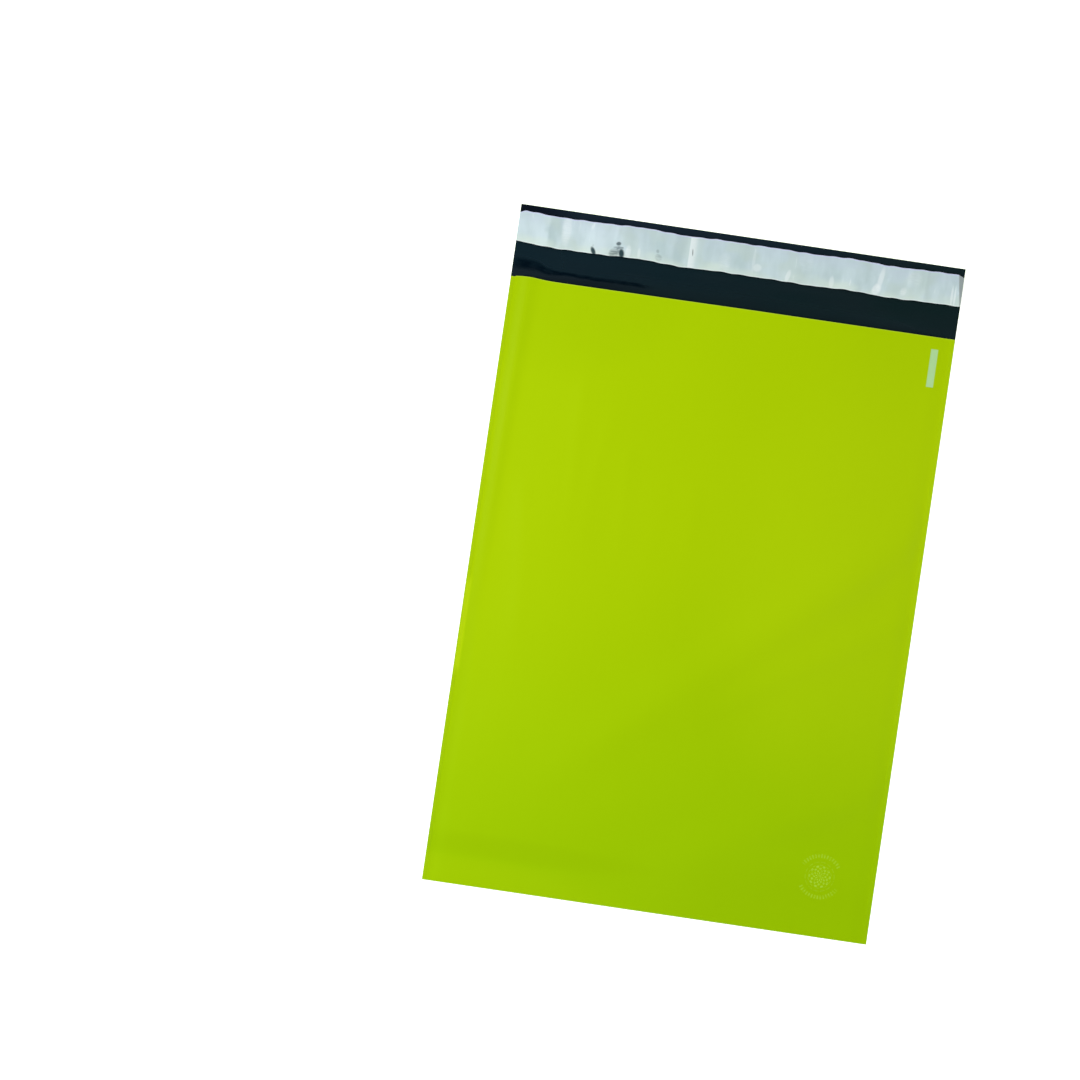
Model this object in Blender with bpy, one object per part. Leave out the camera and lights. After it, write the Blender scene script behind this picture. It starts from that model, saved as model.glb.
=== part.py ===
"""Poly mailer bag, empty and unsealed, lying on its back with the closing flap laid open.

One blank of blown film, lime outside and black inside, is folded across the bottom, turned up on itself
and welded along both sides. The back panel runs on past the mouth as the flap, which carries a strip of
adhesive under a release liner. X runs across the bag, Y from the bottom fold to the flap's tip, Z is up,
and the origin is under the middle of the bag, on the surface that it lies on.
"""

import math
from collections import namedtuple

import bmesh
import bpy
from mathutils import Vector

# Driving dimensions, in metres
BAG_WIDTH = 0.2286
FRONT_LENGTH = 0.3112
FLAP_LENGTH = 0.0364
FILM_THICKNESS = 0.00006
WELD_WIDTH = 0.002

# The release liner and the adhesive below it
TIP_MARGIN = 0.0036
LINER_WIDTH = 0.016
LINER_THICKNESS = 0.00005
ADHESIVE_WIDTH = 0.0124
ADHESIVE_THICKNESS = 0.00008
ADHESIVE_INSET = 0.004
LAYER_GAP = 0.0003

# How the film lies
LOFT = 0.0073
LOFT_POWER = 2.1
FOLD_RAMP = 0.1
MOUTH_RAMP = 0.11
MOUTH_SINK = 0.001
MOUTH_BULGE = 0.0008
BULGE_INSET = 0.0088
BULGE_SPREAD = 0.0078
MOUTH_PULL = 0.0003
FLAP_LIFT = 0.0008
FLAP_WAVE_LENGTH = 0.15
FLAP_WAVE_SHARE = 0.4
RIPPLE_HEIGHT = 0.0003
RIPPLE_LENGTHS = (0.019, 0.031, 0.0127)
WANDER_LENGTHS = (0.07, 0.06, 0.035)
WANDER_HEIGHTS = (0.00026, 0.0004, 0.00015)
WANDER_PHASES = (-1.23, 1.61, -2.38)

# The liner's two upper corners are cut off
CORNER_LENGTH = 0.003
CORNER_DROP = 0.0015

# Mesh resolution
COLUMN_STEPS = 30
ROW_STEP = 0.0095
FOLD_STEPS = 4
LINER_STEP = 0.0035
STRIP_STEPS = 4
MERGE_DISTANCE = 0.000001
SHARP_ANGLE = math.radians(40)

# Places that follow from the sizes above
FOLD_Y = -(FRONT_LENGTH + FLAP_LENGTH) / 2
MOUTH_Y = FOLD_Y + FRONT_LENGTH
TIP_Y = MOUTH_Y + FLAP_LENGTH
SIDE_X = BAG_WIDTH / 2
POCKET_X = SIDE_X - WELD_WIDTH
LINER_Y = TIP_Y - TIP_MARGIN - LINER_WIDTH / 2
ADHESIVE_Z = FILM_THICKNESS + LAYER_GAP
LINER_Z = ADHESIVE_Z + ADHESIVE_THICKNESS + LAYER_GAP

# The soft folds in the front panel are long low ridges. One runs down beside the left weld, and two
# cross the lower half on a slant, each from the right-hand side down to its lower end.
RIDGE_HEIGHT = 0.0007
RIDGE_SPREAD = 0.0042
RIDGE_INSET = 0.0095
RIDGE_END_INSET = 0.003
RIDGE_LENGTH = 0.205
UPPER_FOLD_HEIGHT = 0.0012
UPPER_FOLD_SPREAD = 0.014
UPPER_FOLD_START = 0.0955
UPPER_FOLD_END_INSET = 0.0255
UPPER_FOLD_END = 0.2601
LOWER_FOLD_HEIGHT = 0.0009
LOWER_FOLD_SPREAD = 0.0115
LOWER_FOLD_START = 0.2319
LOWER_FOLD_END_INSET = 0.1044
LOWER_FOLD_END = 0.2932

# A soft fold's two ends, the height of its crest and how far it spreads to each side
SoftFold = namedtuple("SoftFold", "start end height spread")
SIDE_RIDGE = SoftFold(
    start=(-SIDE_X + RIDGE_INSET, MOUTH_Y),
    end=(-SIDE_X + RIDGE_END_INSET, MOUTH_Y - RIDGE_LENGTH),
    height=RIDGE_HEIGHT,
    spread=RIDGE_SPREAD,
)
UPPER_FOLD = SoftFold(
    start=(SIDE_X, MOUTH_Y - UPPER_FOLD_START),
    end=(-SIDE_X + UPPER_FOLD_END_INSET, MOUTH_Y - UPPER_FOLD_END),
    height=UPPER_FOLD_HEIGHT,
    spread=UPPER_FOLD_SPREAD,
)
LOWER_FOLD = SoftFold(
    start=(SIDE_X, MOUTH_Y - LOWER_FOLD_START),
    end=(-SIDE_X + LOWER_FOLD_END_INSET, MOUTH_Y - LOWER_FOLD_END),
    height=LOWER_FOLD_HEIGHT,
    spread=LOWER_FOLD_SPREAD,
)
SOFT_FOLDS = (SIDE_RIDGE, UPPER_FOLD, LOWER_FOLD)

Finish = namedtuple("Finish", "colour roughness")
LIME_FILM = Finish(colour=(0.40, 0.61, 0.002, 1.0), roughness=0.34)
CLEAR_ADHESIVE = Finish(colour=(0.72, 0.68, 0.55, 1.0), roughness=0.25)
SILVER_LINER = Finish(colour=(0.56, 0.66, 0.68, 1.0), roughness=0.28)


def clear_scene():
    """Removes whatever the scene holds."""
    for obj in list(bpy.data.objects):
        bpy.data.objects.remove(obj)


def make_material(name, finish):
    """A Principled material of one plain finish."""
    material = bpy.data.materials.new(name)
    material.use_nodes = True
    shader = material.node_tree.nodes["Principled BSDF"]
    shader.inputs["Base Color"].default_value = finish.colour
    shader.inputs["Roughness"].default_value = finish.roughness
    shader.inputs["Metallic"].default_value = 0.0
    return material


def smooth(t):
    """0 up to 1 with level ends, for t from 0 to 1."""
    t = min(max(t, 0.0), 1.0)
    return t * t * (3 - 2 * t)


def bell(t):
    """1 at t = 0, falling to 0 on both sides."""
    return math.exp(-t * t)


def columns():
    """Places across the bag, closer together towards the welds, with one on each weld's two edges."""
    inner = []
    for i in range(COLUMN_STEPS + 1):
        share = 2 * i / COLUMN_STEPS - 1
        inner.append(POCKET_X * (share + math.sin(share * math.pi / 2)) / 2)
    return [-SIDE_X, *inner, SIDE_X]


def stations(start, end):
    """Places along Y from start to end, a row apart."""
    count = max(1, round(abs(end - start) / ROW_STEP))
    return [start + (end - start) * i / count for i in range(count + 1)]


def fold_height(fold, x, y):
    """How high one soft fold lifts the film at a point."""
    start, end, point = Vector(fold.start), Vector(fold.end), Vector((x, y))
    along = end - start
    share = (point - start).dot(along) / along.length_squared
    nearest = start + along * min(max(share, 0.0), 1.0)
    return fold.height * smooth(3 * (1 - share)) * bell((point - nearest).length / fold.spread)


def pocket_height(x, y):
    """The height of the air between the two panels: a low pillow, shut at the welds and the bottom fold."""
    across = min(abs(x) / POCKET_X, 1.0)
    from_fold = y - FOLD_Y - FILM_THICKNESS
    side = 1 - across**LOFT_POWER
    bottom = 1 - (1 - min(max(from_fold / FOLD_RAMP, 0.0), 1.0)) ** 2
    sink = MOUTH_SINK * smooth(1 - (MOUTH_Y - y) / MOUTH_RAMP)
    folds = sum(fold_height(fold, x, y) for fold in SOFT_FOLDS)
    near_side = 1 - across**12
    return ((LOFT - sink) * side + folds * near_side) * bottom


def flap_height(x, y):
    """How high the flap's film lies above the surface: it lifts a little towards its tip, in a slow wave."""
    share = min(max((y - MOUTH_Y) / FLAP_LENGTH, 0.0), 1.0)
    wave = 1 - FLAP_WAVE_SHARE * (1 + math.cos(2 * math.pi * x / FLAP_WAVE_LENGTH + 1)) / 2
    return FLAP_LIFT * share * share * wave


def mouth_shift(x):
    """How far the front's cut edge runs on beside the left weld, less what the loft pulls it back."""
    if abs(x) > POCKET_X - MERGE_DISTANCE:
        return 0.0
    pull = MOUTH_PULL * (1 - (x / POCKET_X) ** 2)
    return MOUTH_BULGE * bell((x + SIDE_X - BULGE_INSET) / BULGE_SPREAD) - pull


def no_shift(x):
    """No change to a row's place."""
    return 0.0


def shift_at(y):
    """The shift of the front panel's row at that Y: only its cut edge has one."""
    return mouth_shift if y == MOUTH_Y else no_shift


def wander(x):
    """How far the liner strays sideways from a straight line, in three slow waves."""
    waves = zip(WANDER_LENGTHS, WANDER_HEIGHTS, WANDER_PHASES)
    return sum(height * math.sin(2 * math.pi * x / length + phase) for length, height, phase in waves)


def ripple(x, y):
    """How high the liner lifts off the adhesive in soft ripples that run across the strip."""
    first, second, third = RIPPLE_LENGTHS
    turn, lean = 2 * math.pi, (y - LINER_Y) / 6
    waves = math.sin(turn * (x + lean) / first + 1) + math.sin(turn * (x - lean) / second + 2)
    waves += math.sin(turn * x / third) / 2
    return RIPPLE_HEIGHT * (1 + waves / 2.5)


def add_skin(bm, rows, first=0, last=None):
    """Fills the faces between rows of vertices, over columns first to last."""
    for row, following in zip(rows, rows[1:]):
        stop = len(row) - 1 if last is None else last
        for i in range(first, stop):
            face = bm.faces.new((row[i], row[i + 1], following[i + 1], following[i]))
            face.smooth = True


def row_of(bm, y, height, shift=no_shift):
    """A row of vertices across the bag at one Y, each at the height that its place gives."""
    return [bm.verts.new((x, y + shift(x), height(x, y))) for x in columns()]


def film_rows(bm):
    """The blank's rows, outside and inside, for the front panel, bottom fold, back panel and flap."""
    t = FILM_THICKNESS
    crease_y = FOLD_Y + t
    up, down = stations(crease_y, MOUTH_Y), stations(MOUTH_Y, crease_y)
    flap = stations(MOUTH_Y, TIP_Y)[1:]
    front_outer = [row_of(bm, y, lambda x, y: 2 * t + pocket_height(x, y), shift_at(y)) for y in down]
    front_inner = [row_of(bm, y, lambda x, y: t + pocket_height(x, y), shift_at(y)) for y in down]
    turn = [math.pi * (0.5 + i / FOLD_STEPS) for i in range(1, FOLD_STEPS)]
    fold_outer = [row_of(bm, crease_y + t * math.cos(a), lambda x, y, a=a: t + t * math.sin(a)) for a in turn]
    back_outer = [row_of(bm, y, lambda x, y: 0.0) for y in up] + [row_of(bm, y, flap_height) for y in flap]
    back_inner = [row_of(bm, y, lambda x, y: t) for y in up]
    flap_inner = [row_of(bm, y, lambda x, y: t + flap_height(x, y)) for y in flap]
    return front_outer, fold_outer, back_outer, front_inner, back_inner, flap_inner


def edge_of(rows, side):
    """The vertices at one end of each row."""
    return [row[side] for row in rows]


def finish_piece(name, bm, material):
    """Closes a piece's mesh and puts it in the scene as an object of that name."""
    bmesh.ops.remove_doubles(bm, verts=bm.verts, dist=MERGE_DISTANCE)
    bmesh.ops.recalc_face_normals(bm, faces=bm.faces)
    mesh = bpy.data.meshes.new(name)
    bm.to_mesh(mesh)
    bm.free()
    mesh.set_sharp_from_angle(angle=SHARP_ANGLE)
    mesh.materials.append(material)
    obj = bpy.data.objects.new(name, mesh)
    bpy.context.scene.collection.objects.link(obj)
    return obj


def make_bag_film(material):
    """The bag's film in one piece: panels, bottom fold, flap and welded sides.

    In the welds the two panels are one, so they have no inner faces there, and along the bottom fold
    the inner faces meet in a crease.
    """
    bm = bmesh.new()
    front_outer, fold_outer, back_outer, front_inner, back_inner, flap_inner = film_rows(bm)
    pocket_back = back_outer[: len(back_inner)]
    flap_back = back_outer[len(back_inner) - 1 :]
    flap_front = [back_inner[-1], *flap_inner]
    last = len(columns()) - 2
    add_skin(bm, [*front_outer, *fold_outer, *back_outer])
    add_skin(bm, front_inner, first=1, last=last)
    add_skin(bm, back_inner, first=1, last=last)
    add_skin(bm, flap_front)
    add_skin(bm, [front_outer[0], front_inner[0]])
    add_skin(bm, [flap_back[-1], flap_front[-1]])
    for side in (0, -1):
        add_skin(bm, list(zip(edge_of(front_outer, side), edge_of(front_inner, side))))
        add_skin(bm, list(zip(edge_of(back_inner, side), edge_of(pocket_back, side))))
        add_skin(bm, list(zip(edge_of(flap_front, side), edge_of(flap_back, side))))
        ends = edge_of([front_outer[-1], *fold_outer, back_outer[0]], side)
        for near, far in zip(ends, ends[1:]):
            bm.faces.new((near, far, back_inner[0][side]))
    return finish_piece("bag_film", bm, material)


def make_strip(name, material, thickness, corner_at, height):
    """A thin strip laid along the flap.

    corner_at gives the place of a point from its shares along and across the strip, and height the
    strip's underside there.
    """
    bm = bmesh.new()
    count = round(BAG_WIDTH / LINER_STEP)
    under, over = [], []
    for j in range(STRIP_STEPS + 1):
        places = [corner_at(i / count, j / STRIP_STEPS) for i in range(count + 1)]
        under.append([bm.verts.new((x, y, height(x, y))) for x, y in places])
        over.append([bm.verts.new((x, y, height(x, y) + thickness)) for x, y in places])
    add_skin(bm, under)
    add_skin(bm, over)
    for side in (0, -1):
        add_skin(bm, [under[side], over[side]])
        add_skin(bm, list(zip(edge_of(under, side), edge_of(over, side))))
    return finish_piece(name, bm, material)


def make_adhesive(material):
    """The band of pressure-sensitive adhesive, laid along the flap under the liner."""
    reach = SIDE_X - ADHESIVE_INSET

    def corner_at(along, across):
        return (2 * along - 1) * reach, LINER_Y + (across - 0.5) * ADHESIVE_WIDTH

    def height(x, y):
        return ADHESIVE_Z + flap_height(x, y)

    return make_strip("adhesive_strip", material, ADHESIVE_THICKNESS, corner_at, height)


def make_liner(material):
    """The release liner: a strip of thin film that strays a little from straight and lies in soft ripples."""

    def corner_at(along, across):
        x = (2 * along - 1) * SIDE_X
        corner = CORNER_DROP * max(0.0, 1 - (SIDE_X - abs(x)) / CORNER_LENGTH)
        return x, LINER_Y + wander(x) + (across - 0.5) * LINER_WIDTH - corner * across

    def height(x, y):
        return LINER_Z + flap_height(x, y) + ripple(x, y)

    return make_strip("release_liner", material, LINER_THICKNESS, corner_at, height)


def main():
    """Builds the bag."""
    clear_scene()
    make_bag_film(make_material("lime_film", LIME_FILM))
    make_adhesive(make_material("clear_adhesive", CLEAR_ADHESIVE))
    make_liner(make_material("silver_liner", SILVER_LINER))


main()
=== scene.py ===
"""The looks of a poly mailer bag that lies open on its back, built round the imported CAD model.

The bag is one sheet of film, lime outside and black inside, folded across the bottom and welded along both
sides. Its flap lies open and carries a strip of adhesive under a rippled release liner. The studio is plain
and pale, and the camera looks straight down.

In a finish, a pair of numbers named for an edge or a span says where a mask starts and where it is full, in
metres on the flat blank or in levels of a noise. A share, shade, shine or ink says how strongly it covers.
"""

from __future__ import annotations

import logging
import math
import random
from collections.abc import Mapping, Sequence
from dataclasses import dataclass
from enum import Enum

import bpy
import numpy as np
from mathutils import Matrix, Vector

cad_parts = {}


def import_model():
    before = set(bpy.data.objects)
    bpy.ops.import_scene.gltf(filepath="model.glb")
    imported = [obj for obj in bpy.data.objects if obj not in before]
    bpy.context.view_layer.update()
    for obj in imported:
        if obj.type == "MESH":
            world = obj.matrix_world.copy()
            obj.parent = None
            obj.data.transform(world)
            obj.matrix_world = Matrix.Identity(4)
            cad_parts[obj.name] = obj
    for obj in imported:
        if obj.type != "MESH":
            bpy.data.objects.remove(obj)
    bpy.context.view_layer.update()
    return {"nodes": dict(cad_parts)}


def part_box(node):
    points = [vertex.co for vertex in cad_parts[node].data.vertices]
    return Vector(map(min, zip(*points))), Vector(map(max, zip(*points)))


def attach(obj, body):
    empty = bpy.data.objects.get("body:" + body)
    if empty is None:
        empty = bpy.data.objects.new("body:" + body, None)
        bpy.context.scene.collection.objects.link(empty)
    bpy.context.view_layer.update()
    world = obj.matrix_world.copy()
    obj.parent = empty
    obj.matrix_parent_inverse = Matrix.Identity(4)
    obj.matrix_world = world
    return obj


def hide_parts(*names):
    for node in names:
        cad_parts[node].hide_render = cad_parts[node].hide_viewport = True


LOG = logging.getLogger("mailer")
BODY = "root"
BLANK_UV = "Blank"
TURN = 2 * math.pi
SHARP_ANGLE = math.radians(35)
FILM_IOR = 1.5
ADHESIVE_IOR = 1.48

Colour = tuple[float, float, float]
Point = tuple[float, float]
Grid = np.ndarray


class Side(Enum):
    """The two long edges of the bag."""

    LEFT = -1
    RIGHT = 1


# Shader maths


class Wire:
    """A node's output that can be used in sums: each operator adds a Math node."""

    def __init__(self, nodes: Nodes, socket: bpy.types.NodeSocket) -> None:
        """Keeps the socket and the node tree that it is in."""
        self.nodes = nodes
        self.socket = socket

    def sum(self, operation: str, *values: Value) -> Wire:
        """A Math node on these values."""
        return self.nodes.node("ShaderNodeMath", {"operation": operation}, dict(enumerate(values)))

    def __add__(self, other: Value) -> Wire:
        """self + other."""
        return self.sum("ADD", self, other)

    def __radd__(self, other: Value) -> Wire:
        """other + self."""
        return self.sum("ADD", other, self)

    def __sub__(self, other: Value) -> Wire:
        """self - other."""
        return self.sum("SUBTRACT", self, other)

    def __rsub__(self, other: Value) -> Wire:
        """other - self."""
        return self.sum("SUBTRACT", other, self)

    def __mul__(self, other: Value) -> Wire:
        """self * other."""
        return self.sum("MULTIPLY", self, other)

    def __rmul__(self, other: Value) -> Wire:
        """other * self."""
        return self.sum("MULTIPLY", other, self)

    def __truediv__(self, other: Value) -> Wire:
        """self / other."""
        return self.sum("DIVIDE", self, other)

    def __rtruediv__(self, other: Value) -> Wire:
        """other / self."""
        return self.sum("DIVIDE", other, self)

    def __pow__(self, other: Value) -> Wire:
        """self ** other."""
        return self.sum("POWER", self, other)

    def __rpow__(self, other: Value) -> Wire:
        """other ** self."""
        return self.sum("POWER", other, self)

    def __abs__(self) -> Wire:
        """The size of self, without its sign."""
        return self.sum("ABSOLUTE", self)

    def sine(self) -> Wire:
        """The sine of self, in radians."""
        return self.sum("SINE", self)

    def most(self, other: Value) -> Wire:
        """The larger of self and other."""
        return self.sum("MAXIMUM", self, other)

    def least(self, other: Value) -> Wire:
        """The smaller of self and other."""
        return self.sum("MINIMUM", self, other)

    def angle(self, other: Value) -> Wire:
        """The angle of the point (other, self) about the origin."""
        return self.sum("ARCTAN2", self, other)

    def rise(self, start: Value, end: Value) -> Wire:
        """0 before start and 1 after end, with a smooth step between; start may be the larger."""
        limits = {"Value": self, "From Min": start, "From Max": end}
        return self.nodes.node("ShaderNodeMapRange", {"interpolation_type": "SMOOTHSTEP"}, limits)

    def band(self, start: float, end: float, soft: float) -> Wire:
        """1 between start and end, and 0 outside them, with soft edges."""
        return self.rise(start - soft, start + soft) * self.rise(end + soft, end - soft)


Value = Wire | float | Sequence[float]


class Nodes:
    """A node tree, and the ways to add to it."""

    def __init__(self, tree: bpy.types.NodeTree) -> None:
        """Keeps the tree."""
        self.tree = tree

    def feed(self, socket: bpy.types.NodeSocket, value: Value) -> None:
        """Links a wire to a socket, or sets the socket to a number, a vector or a colour.

        Args:
            socket: The input to fill.
            value: A wire, or what the socket holds; a colour of three numbers gets alpha 1.
        """
        if isinstance(value, Wire):
            self.tree.links.new(value.socket, socket)
        elif socket.type == "RGBA" and len(value) == 3:
            socket.default_value = (*value, 1.0)
        else:
            socket.default_value = value

    def node(
        self,
        kind: str,
        settings: Mapping[str, object],
        inputs: Mapping[int | str, Value],
        output: int | str = 0,
    ) -> Wire:
        """Adds one node.

        Args:
            kind: The node's type.
            settings: The node's own properties, which are set first; stops fill a ramp with greys.
            inputs: What goes to its sockets, by name or number.
            output: Which of its outputs to hand back.

        Returns:
            The chosen output.
        """
        made = self.tree.nodes.new(kind)
        for name, value in settings.items():
            if name == "stops":
                self._fill(made.color_ramp, value)
            else:
                setattr(made, name, value)
        for key, value in inputs.items():
            self.feed(made.inputs[key], value)
        return Wire(self, made.outputs[output])

    def _fill(self, ramp: bpy.types.ColorRamp, stops: Sequence[Point]) -> None:
        """Gives a ramp its stops.

        Args:
            ramp: The ramp to fill.
            stops: Each stop's place and its grey.
        """
        ramp.interpolation = "EASE"
        while len(ramp.elements) < len(stops):
            ramp.elements.new(1.0)
        for element, (place, grey) in zip(ramp.elements, stops):
            element.position = place
            element.color = (grey, grey, grey, 1.0)

    def split(self, vector: Wire) -> tuple[Wire, Wire, Wire]:
        """A vector's three parts."""
        x, y, z = self.node("ShaderNodeSeparateXYZ", {}, {0: vector}).socket.node.outputs
        return Wire(self, x), Wire(self, y), Wire(self, z)

    def join(self, x: Value, y: Value) -> Wire:
        """The vector (x, y, 0)."""
        return self.node("ShaderNodeCombineXYZ", {}, {0: x, 1: y})


class Surface(Nodes):
    """One material's nodes, round its Principled shader."""

    def __init__(self, name: str) -> None:
        """Starts a material.

        Args:
            name: The material's name.
        """
        self.material = bpy.data.materials.new(name)
        self.material.use_nodes = True
        super().__init__(self.material.node_tree)
        self.shader = self.tree.nodes["Principled BSDF"]

    def set(self, **values: Value) -> None:
        """Sets the shader's sockets; a word's underscores stand for the spaces in a socket's name."""
        for name, value in values.items():
            self.feed(self.shader.inputs[name.replace("_", " ")], value)

    def place(self) -> Wire:
        """The point's own place in the object, in metres."""
        return self.node("ShaderNodeTexCoord", {}, {}, "Object")

    def blank(self) -> Wire:
        """The point's place on the flat blank, in metres: across it, and along it from the mouth."""
        return self.node("ShaderNodeUVMap", {"uv_map": BLANK_UV}, {})

    def noise(self, vector: Wire, size: float, shares: Sequence[float] = (1.0, 1.0, 1.0)) -> Wire:
        """Soft noise about 0.5.

        Args:
            vector: The place to read it at.
            size: About how large its features are, in metres.
            shares: What each part of the place is multiplied by first; under 1 draws features out.

        Returns:
            The noise, from 0 to 1.
        """
        stretched = self.node("ShaderNodeVectorMath", {"operation": "MULTIPLY"}, {0: vector, 1: shares})
        inputs = {"Vector": stretched, "Scale": 1 / size, "Detail": 2.0, "Roughness": 0.5}
        return self.node("ShaderNodeTexNoise", {"noise_dimensions": "3D"}, inputs)

    def mix(self, share: Value, base: Value, other: Value) -> Wire:
        """The base colour, passing to the other as share goes from 0 to 1."""
        return self.node("ShaderNodeMix", {"data_type": "RGBA"}, {0: share, 6: base, 7: other}, 2)

    def bump(self, *heights: tuple[Wire, float]) -> Wire:
        """Lays bumps one on another.

        Args:
            heights: Each bump's height, from 0 to 1, and the depth in metres that it stands for.

        Returns:
            The normal that they make together.
        """
        inputs: dict[int | str, Value] = {"Strength": 1.0}
        normal: Wire | None = None
        for height, depth in heights:
            layer = {**inputs, "Height": height, "Distance": depth}
            if normal is not None:
                layer["Normal"] = normal
            normal = self.node("ShaderNodeBump", {}, layer)
        return normal


# The bag's plan


@dataclass(frozen=True)
class BagPlan:
    """The bag's plan in the row frame, as the CAD model has it."""

    side_x: float
    fold_y: float
    tip_y: float
    flap: float = 0.0364
    weld: float = 0.002
    film: float = 0.00006
    tip_margin: float = 0.0036
    liner_width: float = 0.016
    liner_film: float = 0.00005
    adhesive_film: float = 0.00008
    layer_gap: float = 0.0003
    flap_lift: float = 0.0008
    flap_wave: float = 0.15
    flap_wave_share: float = 0.4
    flap_wave_phase: float = 1.0
    crease_low: float = 0.0040
    crease_rise: float = 0.0023
    crease_turn: float = 0.0155
    crease_sharpness: int = 8

    @classmethod
    def from_frame(cls) -> BagPlan:
        """Reads the plan's outline from the CAD film's box."""
        low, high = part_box("bag_film")
        return cls(side_x=high.x, fold_y=low.y, tip_y=high.y)

    @property
    def width(self) -> float:
        """The bag's width."""
        return 2 * self.side_x

    @property
    def mouth_y(self) -> float:
        """Where the front panel's cut edge lies."""
        return self.tip_y - self.flap

    @property
    def front(self) -> float:
        """The front panel's length, from the mouth to the bottom fold."""
        return self.mouth_y - self.fold_y

    @property
    def blank(self) -> float:
        """The flat blank's length."""
        return 2 * self.front + self.flap

    @property
    def pocket_x(self) -> float:
        """Where the side welds begin."""
        return self.side_x - self.weld

    @property
    def liner_y(self) -> float:
        """The middle of the liner's width."""
        return self.tip_y - self.tip_margin - self.liner_width / 2

    @property
    def liner_z(self) -> float:
        """The liner's height where the flap lies flat, at the middle of its own thickness."""
        return self.film + 2 * self.layer_gap + self.adhesive_film + self.liner_film / 2

    def crease_up(self, across: Grid | Wire) -> Grid | Wire:
        """How far above the mouth the flap's long crease runs, at a place across the blank."""
        bend = (across * (1 / self.crease_turn)) ** self.crease_sharpness
        return (bend + 1) ** -1.0 * self.crease_rise + self.crease_low

    def flap_height(self, x: Grid, y: Grid) -> Grid:
        """How high the flap's film lies above the surface.

        Args:
            x: Places across the bag.
            y: Places along the bag.

        Returns:
            The height at each place: it grows towards the tip, in a slow wave.
        """
        share = np.clip((y - self.mouth_y) / self.flap, 0.0, 1.0)
        wave = 1 - self.flap_wave_share * (1 + np.cos(TURN * x / self.flap_wave + self.flap_wave_phase)) / 2
        return self.flap_lift * share**2 * wave


# Finishes


@dataclass(frozen=True)
class BarMark:
    """The pale printed bar near the mouth: its place from the right edge and the mouth, and its size."""

    from_edge: float = 0.0078
    from_mouth: float = 0.0063
    width: float = 0.0036
    length: float = 0.0194
    soft: float = 0.00018
    cover: float = 0.84
    patch_size: float = 0.0012
    patch_depth: float = 0.12
    patch_edge: Point = (0.1, 0.42)
    colour: Colour = (0.44, 0.71, 0.345)

    def mask(self, surface: Surface, bag: BagPlan, across: Wire, along: Wire) -> Wire:
        """Lays out the bar, a little patchy as a thin ink is.

        Args:
            surface: The material's nodes.
            bag: The bag's plan.
            across: The place across the blank.
            along: The place along it, from the mouth.

        Returns:
            How strongly its ink covers the film.
        """
        right = bag.width - self.from_edge
        lower = self.from_mouth + self.length
        inside = across.band(right - self.width, right, self.soft)
        inside = inside * along.band(self.from_mouth, lower, self.soft)
        patches = surface.noise(surface.blank(), self.patch_size).rise(*self.patch_edge)
        return inside * (patches * self.patch_depth + self.cover)


@dataclass(frozen=True)
class RoundMark:
    """The faint round printed mark near the bottom fold: two arcs of ticks round rings and a rosette."""

    from_edge: float = 0.0285
    from_fold: float = 0.0309
    soft: float = 0.00016
    tick_inner: float = 0.0096
    tick_outer: float = 0.0116
    tick_count: int = 44
    tick_edge: Point = (-0.2, 0.4)
    tick_ink: float = 0.75
    arc_gap: Point = (0.48, 0.56)
    ring_radius: float = 0.0074
    ring_width: float = 0.0004
    ring_ink: float = 0.45
    dash_count: int = 14
    dash_edge: Point = (-0.9, -0.5)
    rosette_radius: float = 0.0060
    petal_count: int = 10
    petal_length: float = 0.0023
    petal_edge: Point = (-0.05, 0.3)
    swirl: float = 260.0
    wear: float = 0.75
    wear_size: float = 0.0011
    wear_edge: Point = (0.36, 0.56)
    strength: float = 0.72
    colour: Colour = (0.44, 0.72, 0.05)

    def mask(self, surface: Surface, bag: BagPlan, across: Wire, along: Wire) -> Wire:
        """Lays out the mark, worn here and there.

        Args:
            surface: The material's nodes.
            bag: The bag's plan.
            across: The place across the blank.
            along: The place along it, from the mouth.

        Returns:
            How strongly its ink covers the film.
        """
        right = across - (bag.width - self.from_edge)
        up = (bag.front - self.from_fold) - along
        radius = (right * right + up * up) ** 0.5
        turn = up.angle(right)
        arcs = abs(turn.sine()).rise(*self.arc_gap)
        ticks = (turn * self.tick_count).sine().rise(*self.tick_edge)
        ticks = radius.band(self.tick_inner, self.tick_outer, self.soft) * arcs * ticks
        dashes = (turn * self.dash_count).sine().rise(*self.dash_edge)
        inner, outer = self.ring_radius - self.ring_width / 2, self.ring_radius + self.ring_width / 2
        ring = radius.band(inner, outer, self.soft) * dashes
        petals = (turn * self.petal_count + radius * self.swirl).sine()
        petals = (petals * (radius * (TURN / self.petal_length)).sine()).rise(*self.petal_edge)
        rosette = radius.rise(self.rosette_radius + self.soft, self.rosette_radius - self.soft) * petals
        worn = surface.noise(surface.blank(), self.wear_size).rise(*self.wear_edge)
        worn = worn * self.wear + (1 - self.wear)
        return (ticks * self.tick_ink).most(ring * self.ring_ink).most(rosette) * worn * self.strength


@dataclass(frozen=True)
class PaintedLightShadeArea:
    """A soft oval of painted light on the front, a little paler, or below 0 of painted shade, a little
    darker: its middle and half its size.
    """

    across: float
    along: float
    wide: float
    high: float
    paler: float

    def mask(self, across: Wire, along: Wire) -> Wire:
        """How much paler the film is painted at a place: painted light, or below 0 painted shade."""
        side, level = (across - self.across) / self.wide, (along - self.along) / self.high
        return (side * side + level * level).rise(1.0, 0.0) * self.paler


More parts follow.
